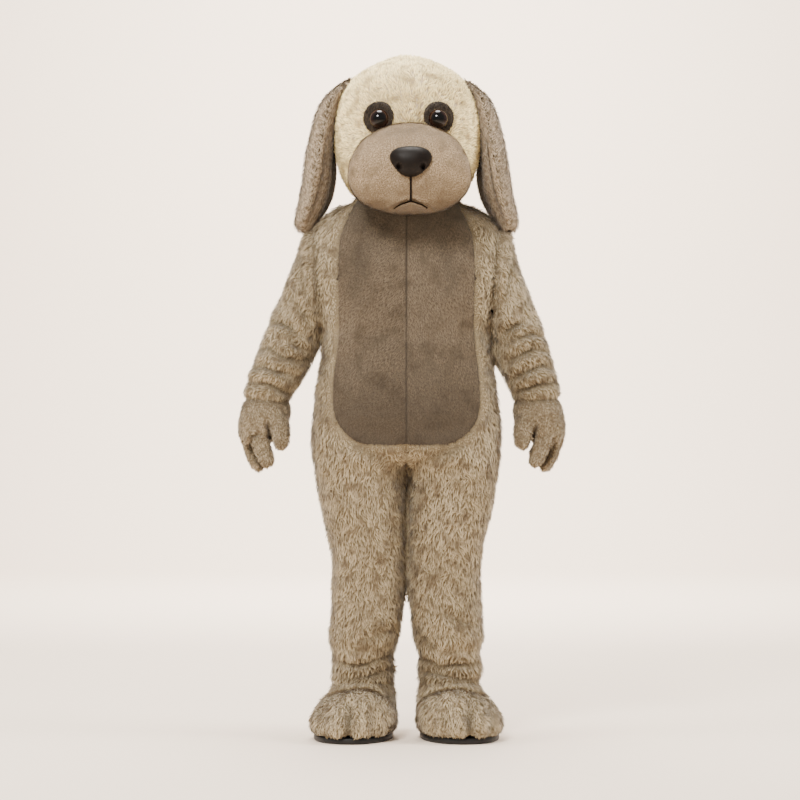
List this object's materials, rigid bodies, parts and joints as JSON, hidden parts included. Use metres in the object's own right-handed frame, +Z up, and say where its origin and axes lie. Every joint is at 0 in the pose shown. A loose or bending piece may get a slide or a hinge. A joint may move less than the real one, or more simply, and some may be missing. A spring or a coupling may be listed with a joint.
{
  "type": "dog mascot costume",
  "caption": "Hollow full-body cartoon dog costume: round fur head with hanging ears, one-piece fur suit with a dark belly patch, paw mitts and feet with flat soles.",
  "frame": {"origin": "middle of the wearer's shoulder line, inside the suit, 1.43 m above the floor the soles stand on", "axes": "+Z up, -Y the way the dog faces, +X the wearer's left"},
  "size_m": [0.9188, 0.5443, 1.899],
  "materials": {
    "body_fur": "long-pile fur cloth, beige with darker roots",
    "head_fur": "short-pile fur cloth, cream with beige mottling",
    "muzzle_plush": "smooth short plush, pinkish taupe",
    "chin_plush": "smooth short plush, pale taupe",
    "belly_plush": "very short plush, dark taupe",
    "ear_fur": "fur cloth, taupe brown",
    "eye_patch_plush": "short plush, dark brown",
    "eye_plastic": "glossy black",
    "nose_plastic": "satin dark brown-black",
    "sole_rubber": "black, lightly glossy",
    "zip_tape": "woven tape, beige",
    "zip_metal": "dull grey metal"
  },
  "bodies": {
    "suit": {"back_left": "body_fur", "back_right": "body_fur", "belly_left": "belly_plush", "belly_right": "belly_plush", "chin": "chin_plush", "ear_inner_left": "ear_fur", "ear_inner_right": "ear_fur", "ear_outer_left": "ear_fur", "ear_outer_right": "ear_fur", "eye_left": "eye_plastic", "eye_patch_left": "eye_patch_plush", "eye_patch_right": "eye_patch_plush", "eye_right": "eye_plastic", "foot_left": "body_fur", "foot_right": "body_fur", "front_left": "body_fur", "front_right": "body_fur", "head_back": "head_fur", "head_front": "head_fur", "mitt_left": "body_fur", "mitt_right": "body_fur", "muzzle": "muzzle_plush", "nose": "nose_plastic", "sleeve_left": "body_fur", "sleeve_right": "body_fur", "sole_left": "sole_rubber", "sole_right": "sole_rubber", "zip_slider": "zip_metal", "zip_tape": "zip_tape"},
    "zip_pull": {"zip_pull": "zip_metal"}
  },
  "joints": [
    {"name": "zip_pull_swing", "type": "hinge", "parent": "suit", "child": "zip_pull", "pos_m": [0, 0.11824, 0.0228], "axis": [1, 0, 0], "range_deg": [0, 120]}
  ]
}
